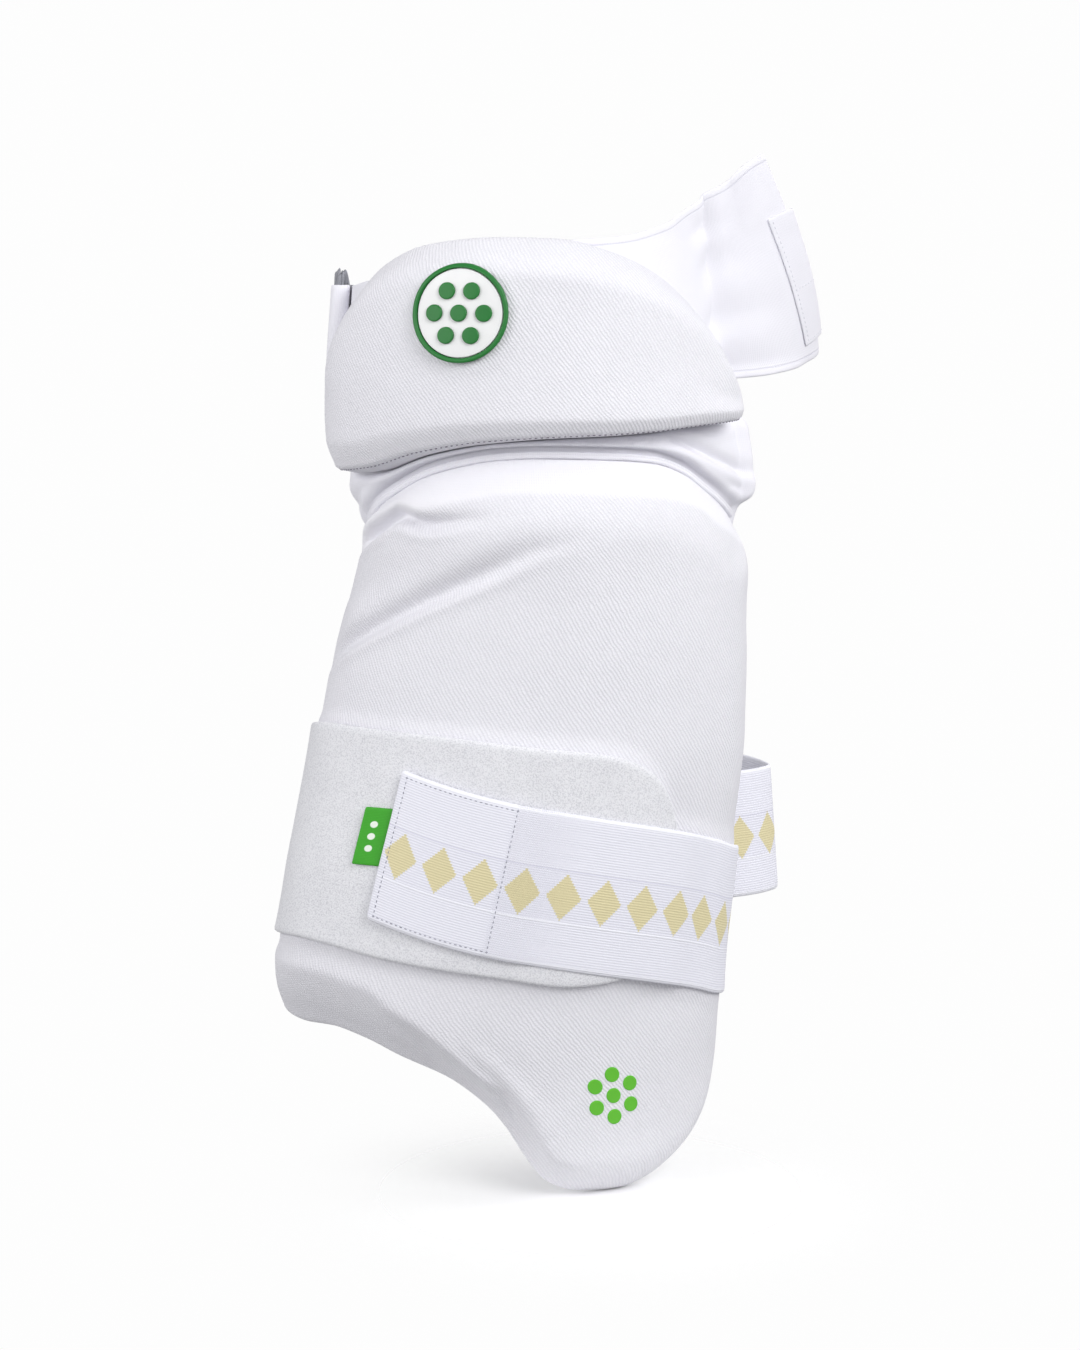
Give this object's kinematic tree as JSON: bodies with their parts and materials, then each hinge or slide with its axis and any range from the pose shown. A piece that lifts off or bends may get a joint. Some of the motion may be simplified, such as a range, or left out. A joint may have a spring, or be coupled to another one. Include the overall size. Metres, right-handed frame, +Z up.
{
  "type": "cricket thigh guard",
  "caption": "Soft guard for a batter's front hip and thigh: two padded shells joined by a stretch panel, with a waist belt and a strap and wrap that close round the leg.",
  "frame": {"origin": "on the axis of the wearer's thigh, level with the middle of the strap that goes round the leg", "axes": "+Z up along the thigh, -Y out of the guard's face, +X to the side where the waist belt ends"},
  "size_m": [0.298, 0.2287, 0.5382],
  "materials": {
    "pad_cloth": "matte twill over foam",
    "jersey": "smooth knit",
    "loop_pile": "brushed loop pile",
    "elastic": "ribbed elastic with a woven beige band",
    "hook_tape": "sewn tape",
    "label": "woven satin",
    "white_rubber": "moulded, satin",
    "green_rubber": "moulded, satin"
  },
  "bodies": {
    "root": {"thigh_pad": "pad_cloth", "hip_pad": "pad_cloth", "stretch_panel": "jersey", "pad_piping": "jersey", "loop_wrap": "loop_pile", "front_strap": "elastic", "hook_patch": "hook_tape", "label_tab": "label", "back_strap": "elastic", "waist_belt": "jersey", "belt_hook_tab": "hook_tape", "back_belt": "jersey", "badge_base": "white_rubber", "badge_rim": "green_rubber", "badge_stud_0": "green_rubber", "badge_stud_1": "green_rubber", "badge_stud_2": "green_rubber", "badge_stud_3": "green_rubber", "badge_stud_4": "green_rubber", "badge_stud_5": "green_rubber", "badge_stud_6": "green_rubber"}
  },
  "joints": []
}
